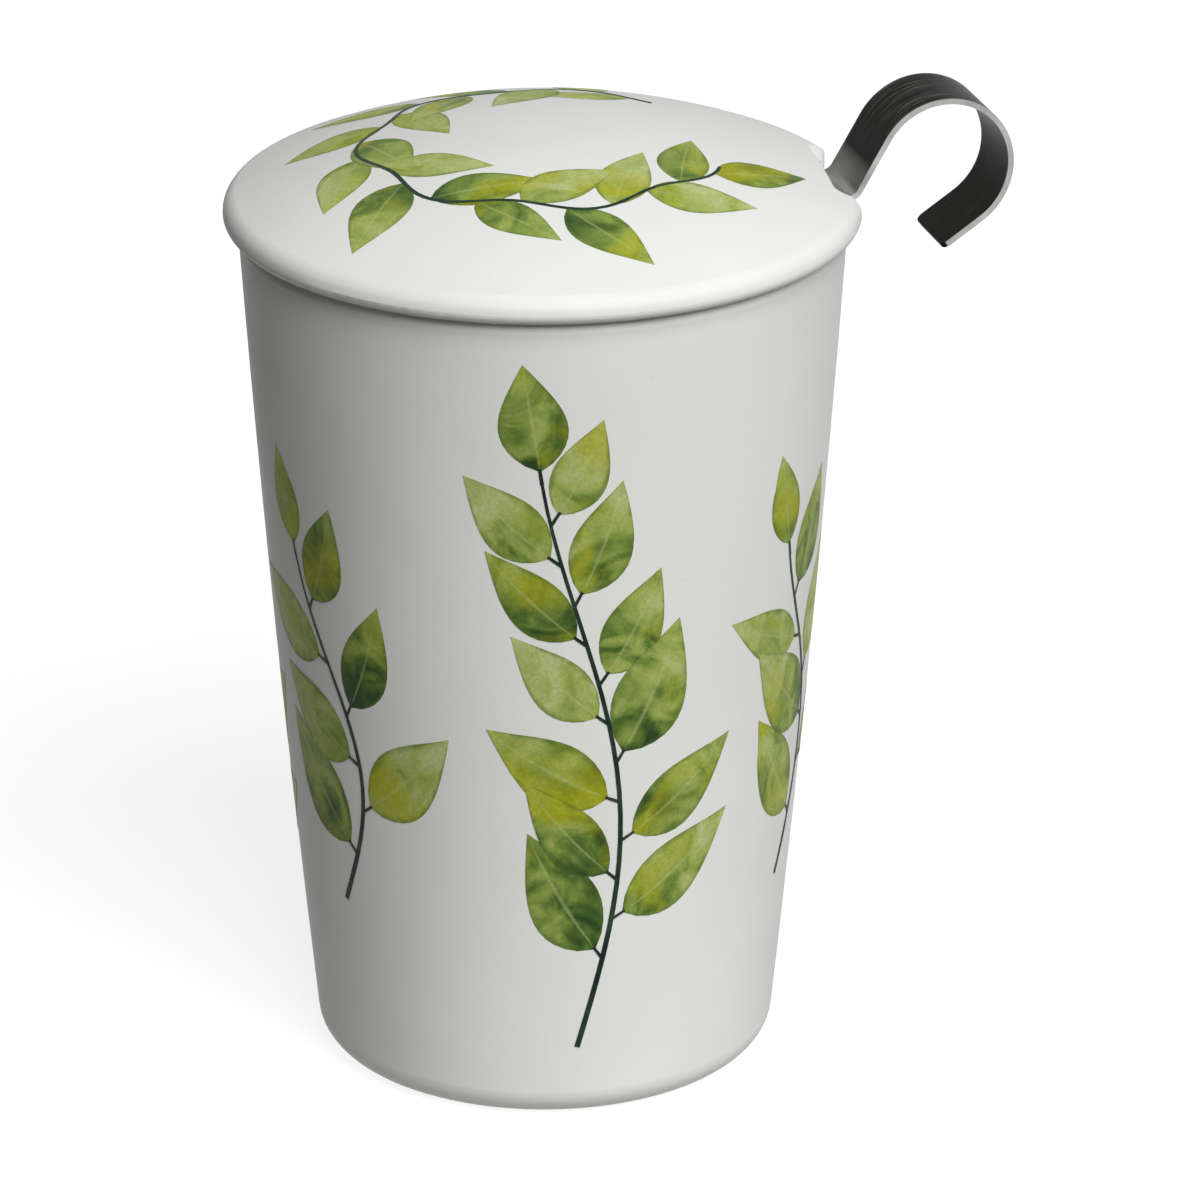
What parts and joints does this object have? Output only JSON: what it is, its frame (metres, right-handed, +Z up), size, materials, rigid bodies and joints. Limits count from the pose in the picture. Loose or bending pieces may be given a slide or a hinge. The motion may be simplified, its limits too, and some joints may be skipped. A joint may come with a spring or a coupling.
{
  "type": "tea infuser mug",
  "caption": "Tapered double-walled porcelain mug with a loose domed lid and a lift-out perforated steel infuser hung by a hooked strap handle.",
  "frame": {"origin": "centre of the foot ring, on the surface that the mug stands on", "axes": "+Z up along the mug's axis, +X towards the hook of the strap"},
  "size_m": [0.1129, 0.09, 0.1393],
  "materials": {
    "porcelain": "satin-gloss white glaze with a printed leaf decal",
    "infuser_steel": "plain stainless sheet",
    "strap_steel": "dark steel strip with bright sheared edges",
    "silicone": "matt translucent white"
  },
  "bodies": {
    "mug": {"outer_shell": "porcelain", "inner_cup": "porcelain", "vent_plug": "silicone"},
    "infuser": {"infuser_collar": "infuser_steel", "infuser_screen": "infuser_steel", "infuser_base": "infuser_steel", "handle_strap": "strap_steel", "strap_rivets": "infuser_steel"},
    "lid": {"lid": "porcelain"}
  },
  "joints": [
    {"name": "infuser_lift", "type": "slide", "parent": "mug", "child": "infuser", "axis": [0, 0, 1], "range_m": [0, 0.11]},
    {"name": "lid_lift", "type": "slide", "parent": "infuser", "child": "lid", "axis": [0, 0, 1], "range_m": [0, 0.06]}
  ]
}
